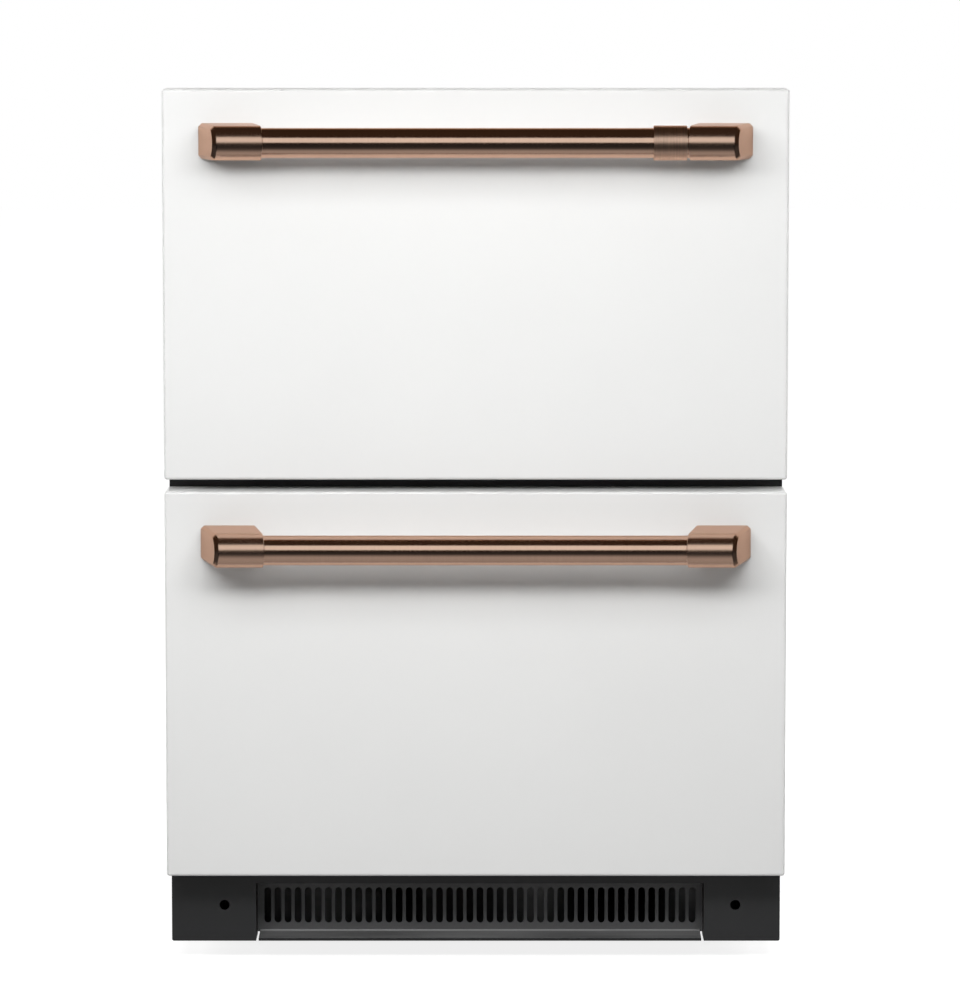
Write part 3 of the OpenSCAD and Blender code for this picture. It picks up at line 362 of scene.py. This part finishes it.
def make_post(name, side, mid_z, body):
    """One post with its bevels. Both levels' posts have the upper ones' size."""
    lo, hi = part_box("upper_handle_posts")
    reach = face_y - lo[1]
    out_x = hi[0]
    base = (hi[2] - lo[2]) / 2
    bar_lo, bar_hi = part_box("upper_handle_bar")
    out = face_y - (bar_lo[1] + bar_hi[1]) / 2           # the nose is round the bar's middle
    nose = reach - out

    outline = post_outline(base, nose, out)
    shrunk = post_outline(base - POST_CHAMFER, nose - POST_CHAMFER, out)

    def x_in(f):
        return out_x - POST_WIDTH - POST_LEAN_IN * f / reach

    def x_out(f):
        return out_x - POST_LEAN_OUT * f / reach

    bm = bmesh.new()
    rings = []
    for points, x_of in ((outline, x_in),
                         (outline, lambda f: x_out(f) - POST_CHAMFER),
                         (shrunk, x_out)):
        rings.append([bm.verts.new((side * x_of(f), face_y - f, mid_z + u)) for f, u in points])
    for a, b in zip(rings, rings[1:]):
        for i in range(len(a)):
            j = (i + 1) % len(a)
            bm.faces.new((a[i], a[j], b[j], b[i]))
    bm.faces.new(rings[0])
    bm.faces.new(list(reversed(rings[-1])))
    bmesh.ops.recalc_face_normals(bm, faces=bm.faces)
    for face in bm.faces:
        face.smooth = True
    for edge in bm.edges:
        if len(edge.link_faces) == 2 and edge.calc_face_angle() > SHARP:
            edge.smooth = False
    mesh = bpy.data.meshes.new(name)
    bm.to_mesh(mesh)
    bm.free()

    post = bpy.data.objects.new(name, mesh)
    scene.collection.objects.link(post)
    post.data.materials.append(satin_copper)
    bevel = post.modifiers.new("edges", "BEVEL")
    bevel.width = POST_BEVEL
    bevel.segments = 2
    bevel.limit_method = "ANGLE"
    bevel.angle_limit = SHARP
    bevel.harden_normals = False
    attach(post, body)
    return post


for level in ("upper", "lower"):
    lo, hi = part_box(f"{level}_handle_posts")
    mid_z = (lo[2] + hi[2]) / 2
    left = make_post(f"{level}_post_left", -1, mid_z, f"{level}_drawer")
    right = make_post(f"{level}_post_right", 1, mid_z, f"{level}_drawer")
    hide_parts(f"{level}_handle_posts")
    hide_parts(f"{level}_handle_posts")


# ---- floor, which is also the backdrop ----

FLOOR_HALF = 15
FLOOR_ALBEDO = 0.45
NEAR_GLOW = 0.84              # what a camera adds to the lit floor by the object
NEAR, FAR = 0.6, 2.6          # distances from the middle of the floor
# reflections see a floor that is pale by the object, and dim far in front of it and beside it
MIRRORED_FROM = 2.0           # in front of the drawer fronts
MIRRORED = [(0.2, grey(0.03)), (0.55, grey(0.08)), (0.8, grey(0.50)), (1.0, grey(0.40))]
ASIDE_FROM, ASIDE_TO, ASIDE_LEVEL = 0.45, 0.8, 0.15


def studio_white(name):
    """Pale matt surface that cameras see as white, and that keeps shadows."""
    mat, tree, shader, node = new_material(name)
    tree.nodes.remove(shader)
    path = node("ShaderNodeLightPath")
    where = node("ShaderNodeNewGeometry").outputs["Position"]
    away = node("ShaderNodeVectorMath", operation="LENGTH", in_0=where).outputs["Value"]
    glow = node("ShaderNodeMath", operation="MULTIPLY", in_0=seen_directly(node, path),
                in_1=map_range(node, away, NEAR, FAR, NEAR_GLOW, 1.0)).outputs[0]
    lit = node("ShaderNodeBsdfDiffuse", in_Color=rgba(grey(FLOOR_ALBEDO))).outputs[0]
    glowing = node("ShaderNodeEmission", in_Color=rgba(grey(1)), in_Strength=glow).outputs[0]
    both = node("ShaderNodeAddShader", in_0=lit, in_1=glowing).outputs[0]

    axes = node("ShaderNodeSeparateXYZ", in_Vector=where)
    along = map_range(node, axes.outputs["Y"], face_y - MIRRORED_FROM, face_y)
    aside = node("ShaderNodeMath", operation="ABSOLUTE", in_0=axes.outputs["X"]).outputs[0]
    beside = map_range(node, aside, ASIDE_FROM, ASIDE_TO, 1.0, ASIDE_LEVEL)
    reflected = node("ShaderNodeEmission", in_Color=ramp(node, along, MIRRORED),
                     in_Strength=beside).outputs[0]
    surface = node("ShaderNodeMixShader", in_0=path.outputs["Is Glossy Ray"], in_1=both,
                   in_2=reflected).outputs[0]
    tree.links.new(surface, tree.nodes["Material Output"].inputs["Surface"])
    return mat


def stage_plane(name, half, mat):
    mesh = bpy.data.meshes.new(name)
    corners = [(-half, -half, 0), (half, -half, 0), (half, half, 0), (-half, half, 0)]
    mesh.from_pydata(corners, [], [(0, 1, 2, 3)])
    plane = bpy.data.objects.new(name, mesh)
    plane.data.materials.append(mat)
    scene.collection.objects.link(plane)


stage_plane("floor", FLOOR_HALF, studio_white("floor_white"))


# ---- lamps ----

def softbox(name, at, aim, size, watts, glossy=False, diffuse=True, colour=(1, 1, 1)):
    data = bpy.data.lights.new(name, "AREA")
    data.shape = "RECTANGLE"
    data.size, data.size_y = size
    data.energy = watts
    data.color = colour
    lamp = bpy.data.objects.new(name, data)
    scene.collection.objects.link(lamp)
    lamp.location = at
    lamp.rotation_euler = (Vector(aim) - Vector(at)).to_track_quat("-Z", "Y").to_euler()
    lamp.visible_camera = False
    lamp.visible_glossy = glossy
    lamp.visible_diffuse = diffuse


# two boxes close in front, which light the fronts and throw the bars' shadows
softbox("key", at=(-0.12, face_y - 1.32, 1.10), aim=(-0.10, face_y - 0.20, 0),
        size=(1.7, 0.28), watts=13.8)
softbox("high_key", at=(-0.12, face_y - 1.35, 1.34), aim=(-0.10, face_y, 0.35),
        size=(1.7, 0.75), watts=15.6)
# a broad box high in front, which only reflections show
softbox("key_reflection", at=(0, face_y - 4.0, 2.45), aim=(0, face_y, 0.6),
        size=(9.0, 2.8), watts=92.0, glossy=True, diffuse=False, colour=(0.90, 0.98, 1.0))
# the sides and the back, which the photograph doesn't show
softbox("left_fill", at=(-2.6, 0.7, 1.3), aim=(0, 0.1, 0.4), size=(1.5, 1.5), watts=42.0)
softbox("right_fill", at=(2.6, 0.7, 1.3), aim=(0, 0.1, 0.4), size=(1.5, 1.5), watts=42.0)
softbox("rear_fill", at=(0.8, 2.6, 2.6), aim=(0, 0.2, 0.4), size=(2.4, 2.0), watts=48.0)


# ---- world ----

AMBIENT = 0.015               # what lights the object
DIM, PALE = 0.045, 1.0        # in reflections, in front of and above the object, and behind it
DIM_UNTIL, PALE_FROM = 0.62, 0.92
WARM = (1.0, 0.62, 0.36)      # the dim part's colour

world = bpy.data.worlds.new("studio")
scene.world = world
world.use_nodes = True
world_tree = world.node_tree
world_tree.nodes.clear()
node = node_maker(world_tree)
path = node("ShaderNodeLightPath")
sky = node("ShaderNodeTexCoord").outputs["Generated"]
behind = node("ShaderNodeSeparateXYZ", in_Vector=sky).outputs["Y"]
mirrored = map_range(node, behind, DIM_UNTIL, PALE_FROM, DIM, PALE)
fill = mix_values(node, path.outputs["Is Glossy Ray"], AMBIENT, mirrored)
strength = mix_values(node, seen_directly(node, path), fill, 1.0)
tint = mix_colours(node, strength, rgba(WARM), rgba(grey(1)))
light = node("ShaderNodeBackground", in_Color=tint, in_Strength=strength).outputs[0]
node("ShaderNodeOutputWorld", in_Surface=light)

scene.view_settings.view_transform = "Standard"
